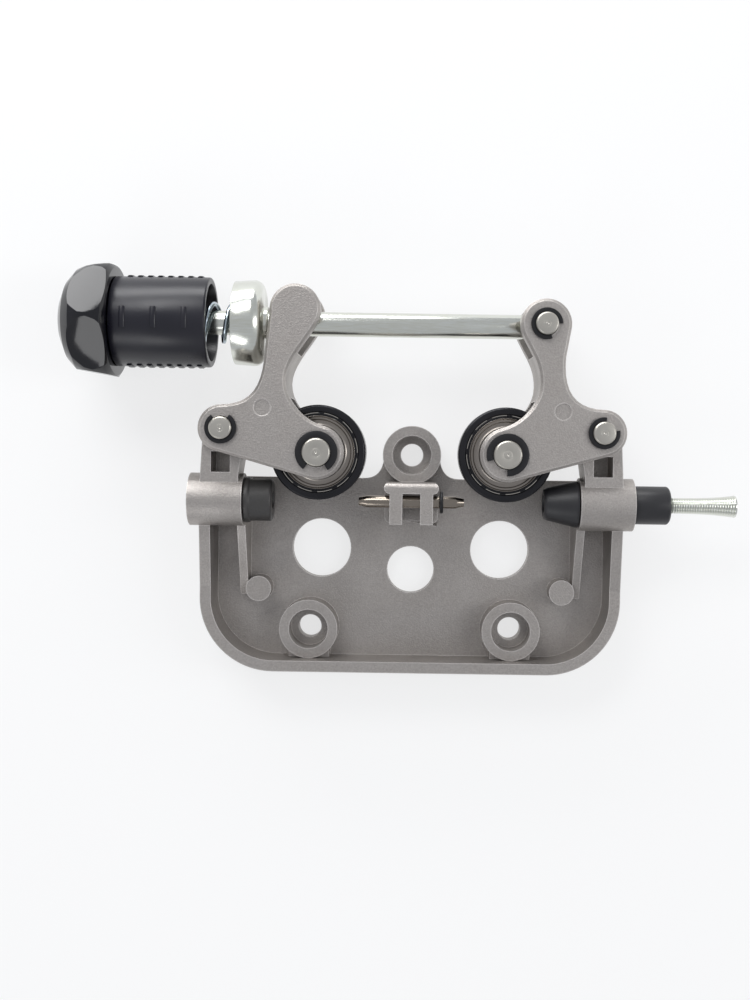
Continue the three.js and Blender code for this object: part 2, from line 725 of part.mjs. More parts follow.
// Outlet bush: a collar outside the boss, a shank through it, and a tapered nose by the right roller.
function outletBush() {
  const edge = 0.8;
  return turnedX([
    [bushBoreRadius, outletCollarEnd], [outletCollarRadius - edge, outletCollarEnd],
    [outletCollarRadius, outletCollarEnd - edge], [outletCollarRadius, guideBossOuter + gap],
    [bushShankRadius, guideBossOuter + gap], [bushShankRadius, guideBossInner - gap],
    [guideBossRadius - 1, guideBossInner - gap], [bushShankRadius + 0.1, guideBossInner - bushReach + 1.4],
    [bushShankRadius - 0.7, guideBossInner - bushReach], [bushBoreRadius, guideBossInner - bushReach],
  ], wireY, wireZ, small);
}

// Close-wound liner that flares at its mouth.
function nozzle() {
  const pitch = (nozzleEnd - outletCollarEnd) / nozzleCoils;
  const outside = [[nozzleRadius, nozzleStart], [nozzleRadius, outletCollarEnd]];
  for (let coil = 0; coil < nozzleCoils; coil += 1) {
    const along = outletCollarEnd + coil * pitch;
    const t = (coil + 0.5) / nozzleCoils;
    const radius = nozzleRadius + (nozzleMouthRadius - nozzleRadius) * t * t * t;
    outside.push([radius - coilDepth, along + 0.05 * pitch]);
    outside.push([radius, along + pitch * 0.35]);
    outside.push([radius, along + pitch * 0.65]);
  }
  outside.push([nozzleMouthRadius - coilDepth, nozzleEnd]);
  const inside = [
    [nozzleMouthRadius - 1.2, nozzleEnd], [nozzleBoreRadius, outletCollarEnd + 8], [nozzleBoreRadius, nozzleStart],
  ];
  return turnedX([...outside, ...inside], wireY, wireZ, 8);
}

function guideTube() {
  const taper = 3;
  const tip = tubeRadius - 0.7;
  return turnedX([
    [tubeBoreRadius, -tubeHalfLength], [tip, -tubeHalfLength], [tubeRadius, -tubeHalfLength + taper],
    [tubeRadius, tubeHalfLength - taper], [tip, tubeHalfLength], [tubeBoreRadius, tubeHalfLength],
  ], wireY, wireZ, small);
}

// Small ring that stops the guide tube sliding in its holder.
function tubeStop() {
  const low = holderHalfWidth + gap + stopRoom;
  const bore = tubeRadius + gap;
  const outside = tubeRadius + stopWall;
  return turnedX([
    [bore, low], [outside, low], [outside, low + stopWidth], [bore, low + stopWidth],
  ], wireY, wireZ, small);
}

place('inlet_bush', inletBush(), castAluminium);
place('outlet_bush', outletBush(), bushPlastic);
place('outlet_nozzle', nozzle(), zincSteel);
place('centre_guide_tube', guideTube(), groundSteel);
place('guide_tube_stop', tubeStop(), blackSteel);

export default feeder;
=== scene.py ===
import json
import math

import bmesh
import bpy
from mathutils import Matrix, Vector


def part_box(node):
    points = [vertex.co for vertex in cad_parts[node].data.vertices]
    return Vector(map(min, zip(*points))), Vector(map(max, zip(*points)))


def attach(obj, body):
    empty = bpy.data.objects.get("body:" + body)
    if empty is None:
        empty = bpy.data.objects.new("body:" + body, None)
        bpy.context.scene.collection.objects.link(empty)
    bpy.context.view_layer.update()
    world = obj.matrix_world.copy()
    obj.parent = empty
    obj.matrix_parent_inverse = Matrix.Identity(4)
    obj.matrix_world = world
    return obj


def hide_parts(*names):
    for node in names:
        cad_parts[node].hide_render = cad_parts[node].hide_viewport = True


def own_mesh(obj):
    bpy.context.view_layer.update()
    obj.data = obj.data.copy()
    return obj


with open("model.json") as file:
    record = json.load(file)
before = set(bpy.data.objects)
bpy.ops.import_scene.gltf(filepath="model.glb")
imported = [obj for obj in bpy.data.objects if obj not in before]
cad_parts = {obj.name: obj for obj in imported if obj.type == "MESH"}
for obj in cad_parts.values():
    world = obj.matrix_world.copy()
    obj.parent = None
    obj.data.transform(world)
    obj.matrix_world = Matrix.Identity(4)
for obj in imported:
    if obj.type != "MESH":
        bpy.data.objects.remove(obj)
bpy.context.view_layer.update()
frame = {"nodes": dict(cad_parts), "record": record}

# ---------------------------------------------------------------- camera
# The bracket lies on its back and is seen from straight above, square to the plate, from about arm's length.
# The lens looks down on the upper bolt hole, which sits a little right of the frame's middle and above it.

mm = 0.001
camera_height = 450 * mm
upper_hole = 65 * mm
pixels_per_mm = 2.616  # at the plate's back
frame_width, frame_height = 750, 1000
axis_column, axis_row = 412, 455  # where the upper bolt hole lies in the frame
camera_roll = math.radians(0.85)
sensor = 36

camera_data = bpy.data.cameras.new("camera")
camera_data.sensor_width = sensor
camera_data.lens = pixels_per_mm / mm * camera_height * sensor / frame_height
camera_data.shift_x = (frame_width / 2 - axis_column) / frame_height
camera_data.shift_y = (axis_row - frame_height / 2) / frame_height
camera_data.clip_start = 10 * mm
camera = bpy.data.objects.new("camera", camera_data)
camera.location = (0, upper_hole, camera_height)
camera.rotation_euler = (0, 0, camera_roll)
bpy.context.collection.objects.link(camera)
bpy.context.scene.camera = camera

# ---------------------------------------------------------------- light and floor
# Soft boxes stand round a white table: a high one and a wide low one behind, one at the right and one in front.
# Bright metal gets its long highlights from the boxes and its dark lines from the gaps between them.

lamps_aim = Vector((0, 40 * mm, 0))


def soft_box(name, place, width, length, watts):
    """A lamp of the given width and length in metres, turned towards the middle of the bracket."""
    lamp = bpy.data.lights.new(name, "AREA")
    lamp.shape = "RECTANGLE"
    lamp.size = width
    lamp.size_y = length
    lamp.energy = watts
    box = bpy.data.objects.new(name, lamp)
    box.location = place
    box.rotation_euler = (lamps_aim - Vector(place)).to_track_quat("-Z", "Y").to_euler()
    bpy.context.collection.objects.link(box)


soft_box("key_box", (-0.35, 0.75, 0.75), 0.6, 0.35, 3.6)
soft_box("low_box", (-0.25, 0.85, 0.2), 0.9, 0.3, 5.0)
soft_box("side_box", (0.75, 0.1, 0.55), 0.25, 0.7, 2.2)
soft_box("front_box", (-0.5, -0.7, 0.6), 0.5, 0.3, 1.3)

world = bpy.data.worlds.new("studio")
bpy.context.scene.world = world
world.use_nodes = True
sky = world.node_tree.nodes["Background"]
sky.inputs["Color"].default_value = (0.93, 0.95, 1, 1)
sky_strength = 0.54  # on the object; the camera itself sees the sky at full white
sky_ray = world.node_tree.nodes.new("ShaderNodeLightPath")
sky_level = world.node_tree.nodes.new("ShaderNodeMath")
sky_level.operation = "MULTIPLY_ADD"
sky_level.inputs[1].default_value = 1 - sky_strength
sky_level.inputs[2].default_value = sky_strength
world.node_tree.links.new(sky_ray.outputs["Is Camera Ray"], sky_level.inputs[0])
world.node_tree.links.new(sky_level.outputs[0], sky.inputs["Strength"])

table_reach = 3  # metres from the middle of the table to each edge
table_drop = 0.1 * mm
table_glow = 0.7  # how far the camera and the bright metal see the table as plain white
floor_mesh = bpy.data.meshes.new("floor")
floor_bm = bmesh.new()
bmesh.ops.create_grid(floor_bm, x_segments=1, y_segments=1, size=table_reach)
floor_bm.to_mesh(floor_mesh)
floor = bpy.data.objects.new("floor", floor_mesh)
floor.location = (0, 0, -table_drop)
bpy.context.collection.objects.link(floor)
floor_white = bpy.data.materials.new("floor_white")
floor_white.use_nodes = True
nodes = floor_white.node_tree.nodes
links = floor_white.node_tree.links
matte = nodes["Principled BSDF"]
matte.inputs["Base Color"].default_value = (0.86, 0.87, 0.88, 1)
matte.inputs["Roughness"].default_value = 0.9
glow = nodes.new("ShaderNodeEmission")
ray = nodes.new("ShaderNodeLightPath")
seen = nodes.new("ShaderNodeMath")
seen.operation = "MAXIMUM"
share = nodes.new("ShaderNodeMath")
share.operation = "MULTIPLY"
share.inputs[1].default_value = table_glow
mix = nodes.new("ShaderNodeMixShader")
links.new(ray.outputs["Is Camera Ray"], seen.inputs[0])
links.new(ray.outputs["Is Glossy Ray"], seen.inputs[1])
links.new(seen.outputs[0], share.inputs[0])
links.new(share.outputs[0], mix.inputs[0])
links.new(matte.outputs[0], mix.inputs[1])
links.new(glow.outputs[0], mix.inputs[2])
links.new(mix.outputs[0], nodes["Material Output"].inputs["Surface"])
floor_mesh.materials.append(floor_white)
bpy.context.scene.view_settings.view_transform = "Standard"

# ---------------------------------------------------------------- base plate
# A pressure die casting in aluminium: a flat floor inside a raised rim, three counterbored bolt bosses and a
# pierced boss at each end of the wire line. It is tumbled after casting, which leaves a fine grey grain.
# Three bolts hold it, and a two-fingered holder on its floor carries the middle guide tube.

body_of_node = {
    node: body for body, members in frame["record"]["behaviour"]["bodies"].items() for node in members
}

drift_scale = 70  # per metre, so a patch of tone is about 14 mm across
drift_low, drift_high = 0.3, 0.7  # the drift hardly leaves this range
drift_share, grain_share, tone_start = 0.6, 0.9, -0.25
# Edges and corners get a painted highlight: a pale colour is mixed in along them.
highlight_reach = 0.6 * mm  # how far from an edge the painted highlight reaches
highlight_starts, highlight_full = 0.995, 0.88  # cosines of the angle between the flat and the rounded edge
highlight_most = 0.75


def surface(name, colour, metallic, roughness, grain, depth, tint, spread=0.0, stretch=(1, 1, 1), edge_highlight=None):
    """A finish with a fine bump of size grain and depth, both in metres, and a slow drift towards tint.

    Where an edge colour is given, edges and corners are lightened towards it: a painted highlight.
    """
    made = bpy.data.materials.new(name)
    made.use_nodes = True
    tree = made.node_tree
    shader = tree.nodes["Principled BSDF"]
    shader.inputs["Metallic"].default_value = metallic
    place = tree.nodes.new("ShaderNodeTexCoord")
    run = tree.nodes.new("ShaderNodeMapping")
    run.inputs["Scale"].default_value = stretch
    tree.links.new(place.outputs["Object"], run.inputs["Vector"])
    fine = tree.nodes.new("ShaderNodeTexNoise")
    fine.inputs["Scale"].default_value = 1 / grain
    fine.inputs["Detail"].default_value = 4
    slow = tree.nodes.new("ShaderNodeTexNoise")
    slow.inputs["Scale"].default_value = drift_scale
    slow.inputs["Detail"].default_value = 5
    for noise in (fine, slow):
        tree.links.new(run.outputs["Vector"], noise.inputs["Vector"])
    weigh = tree.nodes.new("ShaderNodeMath")
    weigh.operation = "MULTIPLY_ADD"
    weigh.inputs[1].default_value = drift_share
    weigh.use_clamp = True
    tree.links.new(slow.outputs["Fac"], weigh.inputs[0])
    scaled = tree.nodes.new("ShaderNodeMath")
    scaled.operation = "MULTIPLY_ADD"
    scaled.inputs[1].default_value = grain_share
    scaled.inputs[2].default_value = tone_start
    tree.links.new(fine.outputs["Fac"], scaled.inputs[0])
    tree.links.new(scaled.outputs[0], weigh.inputs[2])
    tone = tree.nodes.new("ShaderNodeMix")
    tone.data_type = "RGBA"
    tone.inputs["A"].default_value = (*colour, 1)
    tone.inputs["B"].default_value = (*tint, 1)
    tree.links.new(weigh.outputs[0], tone.inputs["Factor"])
    # Painted highlight: edges and corners are lightened towards the edge colour.
    if edge_highlight:
        rounded = tree.nodes.new("ShaderNodeBevel")
        rounded.samples = 4
        rounded.inputs["Radius"].default_value = highlight_reach
        flat = tree.nodes.new("ShaderNodeNewGeometry")
        turn = tree.nodes.new("ShaderNodeVectorMath")
        turn.operation = "DOT_PRODUCT"
        tree.links.new(rounded.outputs["Normal"], turn.inputs[0])
        tree.links.new(flat.outputs["Normal"], turn.inputs[1])
        highlight_mask = tree.nodes.new("ShaderNodeMapRange")
        highlight_mask.inputs["From Min"].default_value = highlight_starts
        highlight_mask.inputs["From Max"].default_value = highlight_full
        highlight_mask.inputs["To Max"].default_value = highlight_most
        tree.links.new(turn.outputs["Value"], highlight_mask.inputs["Value"])
        bright = tree.nodes.new("ShaderNodeMix")
        bright.data_type = "RGBA"
        bright.inputs["B"].default_value = (*edge_highlight, 1)
        tree.links.new(highlight_mask.outputs["Result"], bright.inputs["Factor"])
        tree.links.new(tone.outputs["Result"], bright.inputs["A"])
        tone = bright
    tree.links.new(tone.outputs["Result"], shader.inputs["Base Color"])
    gloss = tree.nodes.new("ShaderNodeMapRange")
    gloss.inputs["From Min"].default_value = drift_low
    gloss.inputs["From Max"].default_value = drift_high
    gloss.inputs["To Min"].default_value = roughness - spread
    gloss.inputs["To Max"].default_value = roughness + spread
    tree.links.new(slow.outputs["Fac"], gloss.inputs["Value"])
    tree.links.new(gloss.outputs["Result"], shader.inputs["Roughness"])
    bump = tree.nodes.new("ShaderNodeBump")
    bump.inputs["Strength"].default_value = 1
    bump.inputs["Distance"].default_value = depth
    tree.links.new(fine.outputs["Fac"], bump.inputs["Height"])
    tree.links.new(bump.outputs["Normal"], shader.inputs["Normal"])
    return made


# The cast aluminium's pale edge colour is a painted highlight along its rounded edges.
cast_skin = surface(
    "cast_aluminium", (0.52, 0.49, 0.465), 0.80, 0.44, 0.55 * mm, 0.15 * mm, (0.27, 0.25, 0.235), 0.08,
    edge_highlight=(0.82, 0.79, 0.76),
)


def keep_piece(name, bm, finish, *nodes_replaced, smooth=35):
    """Turns the working mesh into a piece that stands for its CAD nodes and rides on their body.

    Edges sharper than smooth, in degrees, stay crisp.
    """
    mesh = bpy.data.meshes.new(name)
    bm.to_mesh(mesh)
    bm.free()
    mesh.polygons.foreach_set("use_smooth", [True] * len(mesh.polygons))
    mesh.set_sharp_from_angle(angle=math.radians(smooth))
    mesh.materials.append(finish)
    piece = bpy.data.objects.new(name, mesh)
    bpy.context.collection.objects.link(piece)
    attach(piece, body_of_node[nodes_replaced[0]])
    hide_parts(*nodes_replaced)
    return piece


upright_within = 0.05  # millimetres


def round_uprights(bm, spots, radius):
    """Rounds the upright corners at the given (x, y) places on both sides of x = 0, all in millimetres."""
    uprights = [
        edge for edge in bm.edges
        if any(
            all(math.hypot(abs(vert.co.x) / mm - x, vert.co.y / mm - y) < upright_within for vert in edge.verts)
            for x, y in spots
        )
    ]
    bmesh.ops.bevel(
        bm, geom=uprights, offset=radius * mm, offset_type="OFFSET", segments=6, profile=0.5,
        affect="EDGES", clamp_overlap=True, material=-1,
    )


casting_merge = 0.002 * mm
casting_flat = math.radians(1)  # faces that turn less than this are one face
casting_sharp = math.radians(40)  # edges that turn more than this are rounded


def cast_piece(node, finish, edge_width, corners=()):
    """A casting: the node's own solid, merged into whole faces, with its edges and corners rounded.

    The large flat faces keep their own normals, so they shade as flat.
    """
    bm = bmesh.new()
    bm.from_mesh(frame["nodes"][node].data)
    bmesh.ops.remove_doubles(bm, verts=bm.verts, dist=casting_merge)
    bmesh.ops.dissolve_limit(
        bm, angle_limit=casting_flat, use_dissolve_boundaries=False, verts=bm.verts, edges=bm.edges,
        delimit={"NORMAL"},
    )
    bmesh.ops.recalc_face_normals(bm, faces=bm.faces)
    for spots, radius in corners:
        round_uprights(bm, spots, radius)
    piece = keep_piece(node + "_casting", bm, finish, node)
    rounding = piece.modifiers.new("edges", "BEVEL")
    rounding.width = edge_width
    rounding.segments = 3
    rounding.limit_method = "ANGLE"
    rounding.angle_limit = casting_sharp
    flats = piece.modifiers.new("flats", "WEIGHTED_NORMAL")
    flats.keep_sharp = True
    flats.weight = 100
    return piece


holder_side = 9.8
holder_foot, holder_neck, holder_head = 40, 51, 55
holder_corner = 1.9
holder_corners = (
    ([(holder_side, holder_foot), (holder_side, holder_neck), (holder_side, holder_head)], holder_corner),
)
plate_edge = 0.5 * mm
cast_piece("base_plate", cast_skin, plate_edge, holder_corners)

# ---------------------------------------------------------------- arms
# Each arm is one aluminium casting with two cheeks joined by a bridge across the neck.
# Generous rounded edges run all along its outline, lightened by a painted highlight. It turns on a pin in the
# plate.

arm_edge = 1.0 * mm
for side in ("left", "right"):
    cast_piece(f"{side}_arm", cast_skin, arm_edge)

# ---------------------------------------------------------------- pins and their clips
# Turned steel pins hold the arms, the rollers and the rod. Each has a flat head behind and a snap-on
# clip of blackened spring steel in a groove in front.

pin_steel = surface(
    "pin_steel", (0.58, 0.56, 0.51), 1.0, 0.38, 0.30 * mm, 0.02 * mm, (0.43, 0.41, 0.37), 0.06
)
clip_steel = surface(
    "clip_steel", (0.016, 0.016, 0.018), 0.6, 0.42, 0.35 * mm, 0.02 * mm, (0.03, 0.03, 0.032), 0.08
)


def broken_edges(bm, width, steeper_than=32, segments=2):
    """Rounds every edge that is sharper than the given angle in degrees."""
    sharp = [
        edge for edge in bm.edges
        if len(edge.link_faces) == 2 and edge.calc_face_angle(0) > math.radians(steeper_than)
    ]
    bmesh.ops.bevel(
        bm, geom=sharp, offset=width, offset_type="OFFSET", segments=segments, profile=0.5,
        affect="EDGES", clamp_overlap=True, material=-1,
    )


spin_merge = 0.001 * mm


def turned_piece(name, profile, finish, nodes_replaced, centre, along="Z", steps=72, edge=0.25, smooth=35):
    """Spins a closed outline about the axis through centre, which is in metres.

    The outline's points are (radius, place along the axis), in millimetres.
    """
    bm = bmesh.new()
    ring = [bm.verts.new((radius * mm, 0, height * mm)) for radius, height in profile]
    for here, there in zip(ring, ring[1:] + ring[:1]):
        if here.co.x > 0 or there.co.x > 0:
            bm.edges.new((here, there))
    bmesh.ops.spin(
        bm, geom=bm.verts[:] + bm.edges[:], cent=(0, 0, 0), axis=(0, 0, 1), angle=math.tau,
        steps=steps, use_merge=True,
    )
    bmesh.ops.remove_doubles(bm, verts=bm.verts, dist=spin_merge)
    bmesh.ops.recalc_face_normals(bm, faces=bm.faces)
    if edge:
        broken_edges(bm, edge * mm)
    if along == "X":
        bmesh.ops.rotate(bm, verts=bm.verts, cent=(0, 0, 0), matrix=Matrix.Rotation(math.pi / 2, 3, "Y"))
    bmesh.ops.translate(bm, verts=bm.verts, vec=centre)
    return keep_piece(name, bm, finish, *nodes_replaced, smooth=smooth)


def plain_ring(bore, radius, start, end):
    """The outline of a ring with square corners."""
    return [(bore, start), (radius, start), (radius, end), (bore, end)]


def reach(node, axis):
    """The node's lowest and highest place along X (0), Y (1) or Z (2), in millimetres."""
    low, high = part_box(node)
    return low[axis] / mm, high[axis] / mm


def middle_of(node):
    low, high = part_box(node)
    return Vector([(a + b) / 2 for a, b in zip(low, high)])


def size_of(node):
    low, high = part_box(node)
    return Vector([b - a for a, b in zip(low, high)])


pin_head_overhang = 1.5
pin_head_thickness = 2.0
pin_chamfer = 0.5
groove_depth = 0.5
clip_seat = 0.3
mark_outside, mark_middle, mark_inside = 0.34, 0.31, 0.28  # a scribed ring, as shares of the pin's radius
mark_sunk = 0.05
dimple_radius, dimple_sunk = 0.5, 0.25

for spot in ("left_pivot", "right_pivot", "left_roller", "right_roller", "rod"):
    middle = middle_of(f"{spot}_pin")
    low, high = reach(f"{spot}_pin", 2)
    clip_low, clip_high = reach(f"{spot}_clip", 2)
    radius = size_of(f"{spot}_pin").x / 2 / mm - pin_head_overhang
    groove_low = clip_low - clip_seat / 2
    groove_high = clip_high + clip_seat / 2
    turned_piece(
        f"{spot}_turned_pin",
        [
            (0, low), (radius + pin_head_overhang, low), (radius + pin_head_overhang, low + pin_head_thickness),
            (radius, low + pin_head_thickness), (radius, groove_low), (radius - groove_depth, groove_low),
            (radius - groove_depth, groove_high), (radius, groove_high),
            (radius, high - pin_chamfer), (radius - pin_chamfer, high),
            (radius * mark_outside, high), (radius * mark_middle, high - mark_sunk), (radius * mark_inside, high),
            (dimple_radius, high), (0, high - dimple_sunk),
        ],
        pin_steel, [f"{spot}_pin"], (middle.x, middle.y, 0), edge=0.1, smooth=20,
    )

clip_opening = math.radians(70)
clip_edge = 0.15 * mm
roller_clip_width, other_clip_width = 2.7, 1.8
# The way each clip's opening faces, in radians from X towards Y.
clip_facing = {"left_pivot": 1.6, "right_pivot": 0.8, "left_roller": -1.6, "right_roller": -2.2, "rod": -0.6}
for spot, facing in clip_facing.items():
    middle = middle_of(f"{spot}_pin")
    low, high = reach(f"{spot}_clip", 2)
    inner = size_of(f"{spot}_pin").x / 2 / mm - pin_head_overhang - groove_depth + clip_seat
    outer = inner + (roller_clip_width if spot.endswith("roller") else other_clip_width)
    bm = bmesh.new()
    outline = plain_ring(inner, outer, low, high)
    section = [bm.verts.new((radius * mm, 0, height * mm)) for radius, height in outline]
    first = bm.faces.new(section)
    start = facing + clip_opening / 2
    bmesh.ops.rotate(bm, verts=bm.verts, cent=(0, 0, 0), matrix=Matrix.Rotation(start, 3, "Z"))
    bmesh.ops.spin(
        bm, geom=[first, *bm.verts, *bm.edges], cent=(0, 0, 0), axis=(0, 0, 1),
        angle=math.tau - clip_opening, steps=48,
    )
    bmesh.ops.remove_doubles(bm, verts=bm.verts, dist=spin_merge)
    bmesh.ops.recalc_face_normals(bm, faces=bm.faces)
    broken_edges(bm, clip_edge, steeper_than=40)
    bmesh.ops.translate(bm, verts=bm.verts, vec=(middle.x, middle.y, 0))
    keep_piece(f"{spot}_snap_clip", bm, clip_steel, f"{spot}_clip")

# ---------------------------------------------------------------- pressure rollers
# Each roller is a sealed ball bearing. Its blackened outer ring presses the wire, a pressed steel shield
# closes each face, and the bright inner ring stays still on the pin between two thin spacers.

ring_black = surface(
    "ring_black", (0.012, 0.012, 0.014), 0.7, 0.30, 0.30 * mm, 0.015 * mm, (0.03, 0.03, 0.034), 0.06
)
race_steel = surface(
    "race_steel", (0.56, 0.53, 0.48), 1.0, 0.24, 0.25 * mm, 0.012 * mm, (0.36, 0.34, 0.31), 0.06
)
shield_steel = surface(
    "shield_steel", (0.36, 0.33, 0.30), 1.0, 0.30, 0.25 * mm, 0.015 * mm, (0.22, 0.20, 0.18), 0.06
)

roller_radius = 17.0
roller_bore = 13.2
roller_lip = 0.6
bore_lip = 0.1
# The grooves and the shield are (radius, how far below the face).
ring_groove = ((14.6, 0), (14.4, 0.4), (13.9, 0.4), (13.7, 0))
shield_shape = (
    (13.15, 0.25), (12.9, 0.25), (12.6, 0.6), (11.9, 0.6), (11.6, 0.8), (10.3, 0.8), (9.9, 0.55), (9.6, 0.55),
    (9.6, 1.3), (13.15, 1.3),
)
slot_count = 12
slot_share = 0.72  # of each slot's pitch that is open
slot_steps = 8
slot_inside, slot_outside = 13.95, 14.2
slot_top, slot_floor = 0.16, 0.38  # below the ring's face
race_radius = 9.3
race_bore = 5.3
race_lip = 0.6
race_groove = ((8.3, 0), (8.1, 0.3), (7.6, 0.3), (7.4, 0))
spacer_radius = 7.6
for side in ("left", "right"):
    middle = middle_of(f"{side}_roller_ring")
    low, high = reach(f"{side}_roller_ring", 2)
    turned_piece(
        f"{side}_roller_outer_ring",
        [
            (roller_radius - roller_lip, low), (roller_radius, low + roller_lip),
            (roller_radius, high - roller_lip), (roller_radius - roller_lip, high),
            *((radius, high - sunk) for radius, sunk in ring_groove),
            (roller_bore, high - bore_lip), (roller_bore, low + bore_lip),
            *((radius, low + sunk) for radius, sunk in reversed(ring_groove)),
        ],
        ring_black, [f"{side}_roller_ring"], (middle.x, middle.y, 0), steps=96, edge=0.12,
    )
    for face, level, out in (("back", low, 1), ("front", high, -1)):
        turned_piece(
            f"{side}_roller_{face}_shield",
            [(radius, level + out * sunk) for radius, sunk in shield_shape],
            shield_steel, [f"{side}_roller_ring"], (middle.x, middle.y, 0), steps=96, edge=0.1,
        )
        bm = bmesh.new()
        for number in range(slot_count):
            section = [
                bm.verts.new((radius * mm, 0, (level + out * sunk) * mm))
                for radius, sunk in plain_ring(slot_inside, slot_outside, slot_top, slot_floor)
            ]
            end = bm.faces.new(section)
            start = Matrix.Rotation(math.tau * number / slot_count, 3, "Z")
            bmesh.ops.rotate(bm, verts=section, cent=(0, 0, 0), matrix=start)
            bmesh.ops.spin(
                bm, geom=[end, *section, *end.edges], cent=(0, 0, 0), axis=(0, 0, 1),
                angle=slot_share * math.tau / slot_count, steps=slot_steps,
            )
        bmesh.ops.remove_doubles(bm, verts=bm.verts, dist=spin_merge)
        bmesh.ops.recalc_face_normals(bm, faces=bm.faces)
        bmesh.ops.translate(bm, verts=bm.verts, vec=(middle.x, middle.y, 0))
        keep_piece(f"{side}_roller_{face}_slots", bm, race_steel, f"{side}_roller_ring")
    turned_piece(
        f"{side}_roller_race",
        [
            (race_bore, low), (race_radius - race_lip, low), (race_radius, low + race_lip),
            (race_radius, high - race_lip), (race_radius - race_lip, high),
            *((radius, high - sunk) for radius, sunk in race_groove), (race_bore, high),
        ],
        race_steel, [f"{side}_roller_inner_ring"], (middle.x, middle.y, 0), steps=96, edge=0.12,
    )
    for face in ("back", "front"):
        node = f"{side}_roller_{face}_spacer"
        turned_piece(
            node + "_washer", plain_ring(race_bore, spacer_radius, *reach(node, 2)),
            race_steel, [node], (middle.x, middle.y, 0), edge=0.12,
        )
    # The ball cage keeps its CAD mesh, in the race's steel.
    frame["nodes"][f"{side}_roller_ball_cage"].data.materials.clear()
    frame["nodes"][f"{side}_roller_ball_cage"].data.materials.append(race_steel)

# ---------------------------------------------------------------- tension rod
# A zinc-plated steel rod hangs on the right arm by a pin through its forged eye and lies in the left arm's
# fork. Its free end has a chamfer and carries the knob.

zinc = surface(
    "bright_zinc", (0.80, 0.83, 0.81), 1.0, 0.19, 0.6 * mm, 0.02 * mm, (0.66, 0.66, 0.57), 0.06,
    stretch=(0.12, 1, 1),
)

rod_line = Vector((0, middle_of("cup_washer").y, middle_of("cup_washer").z))
rod_radius = 4.4
rod_end = reach("tension_rod", 0)[0]
rod_chamfer = 1
eye_radius = 6.8
eye_bore = 4.3
eye_x = middle_of("rod_pin").x / mm
eye_low, eye_high = reach("tension_rod", 2)
shaft_overlap = 1.2  # how far the shaft runs into the eye
shaft_start = eye_x - eye_radius + shaft_overlap
turned_piece(
    "rod_shaft",
    [
        (0, shaft_start), (rod_radius, shaft_start), (rod_radius, rod_end + rod_chamfer),
        (rod_radius - rod_chamfer, rod_end), (0, rod_end),
    ],
    zinc, ["tension_rod"], rod_line, "X",
)
turned_piece(
    "rod_eye", plain_ring(eye_bore, eye_radius, eye_low, eye_high),
    zinc, ["tension_rod"], (eye_x * mm, rod_line.y, 0), edge=0.5,
)

# ---------------------------------------------------------------- spring cup and washer
# A pressed cup of zinc-plated steel slides on the rod and holds one end of the spring in its recess.
# A flat washer of the same steel sits inside the knob and holds the other end.

rod_hole = 4.7
cup_back, cup_tip = reach("cup_washer", 0)
hub_rise = 1.6
cup_face = cup_tip - hub_rise
cup_radius = 15.5
cup_hub = 6.0
cup_corner = 3.4
corner_steps = 6
rim_taper = 0.5
recess_radius = 13.0
recess_depth = 2.5
cup_profile = [(rod_hole, cup_face + hub_rise), (cup_hub, cup_face + hub_rise), (cup_hub, cup_face)]
for step in range(corner_steps + 1):
    turn = math.pi / 2 * step / corner_steps
    cup_profile.append((
        cup_radius - cup_corner + cup_corner * math.sin(turn),
        cup_face - cup_corner + cup_corner * math.cos(turn),
    ))
cup_floor = cup_back + recess_depth
cup_profile += [
    (cup_radius - rim_taper, cup_back), (recess_radius, cup_back), (recess_radius, cup_floor),
    (rod_hole, cup_floor),
]
turned_piece("spring_cup", cup_profile, zinc, ["cup_washer"], rod_line, "X", steps=96, edge=0.3)

seat_back, seat_face = reach("seat_washer", 0)
washer_radius = 11
turned_piece(
    "spring_washer", plain_ring(rod_hole, washer_radius, seat_face, seat_back),
    zinc, ["seat_washer"], rod_line, "X",
)

# ---------------------------------------------------------------- spring
# A compression spring, wound from round steel wire. It stands between the cup and the washer in the knob, and
# gets a mesh of its own.

spring_blue = surface(
    "spring_wire", (0.62, 0.70, 0.75), 1.0, 0.20, 0.5 * mm, 0.015 * mm, (0.34, 0.40, 0.46), 0.05
)
wire_radius = 0.9
wire_sides = 14
coil_radius = 6.7
coil_seat = 1.2  # from a seat to the middle of the wire
coil_start = cup_floor - coil_seat
coil_end = seat_face + coil_seat
coil_turns = 5
coil_steps = 48
bm = bmesh.new()
bmesh.ops.create_circle(bm, cap_ends=True, radius=wire_radius * mm, segments=wire_sides)
bmesh.ops.rotate(bm, verts=bm.verts, cent=(0, 0, 0), matrix=Matrix.Rotation(math.pi / 2, 3, "X"))
bmesh.ops.translate(bm, verts=bm.verts, vec=(coil_radius * mm, 0, coil_start * mm))
bmesh.ops.spin(
    bm, geom=bm.verts[:] + bm.edges[:] + bm.faces[:], cent=(0, 0, 0), axis=(0, 0, 1),
    angle=math.tau * coil_turns, steps=coil_steps * coil_turns,
    dvec=(0, 0, (coil_end - coil_start) * mm / (coil_steps * coil_turns)),
)
bmesh.ops.recalc_face_normals(bm, faces=bm.faces)
bmesh.ops.rotate(bm, verts=bm.verts, cent=(0, 0, 0), matrix=Matrix.Rotation(math.pi / 2, 3, "Y"))
bmesh.ops.translate(bm, verts=bm.verts, vec=rod_line)
spring = keep_piece("wound_spring", bm, spring_blue, "tension_spring")
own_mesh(spring)

# ---------------------------------------------------------------- grip
# The knob's black grip is one plastic moulding, hollow towards the spring, with a slight draft in its bore.
# Four rows of raised setting marks stand on its sides, with fewer marks in front and behind.

grip_black = surface(
    "grip_plastic", (0.004, 0.004, 0.009), 0.0, 0.31, 0.35 * mm, 0.02 * mm, (0.008, 0.008, 0.015), 0.05
)

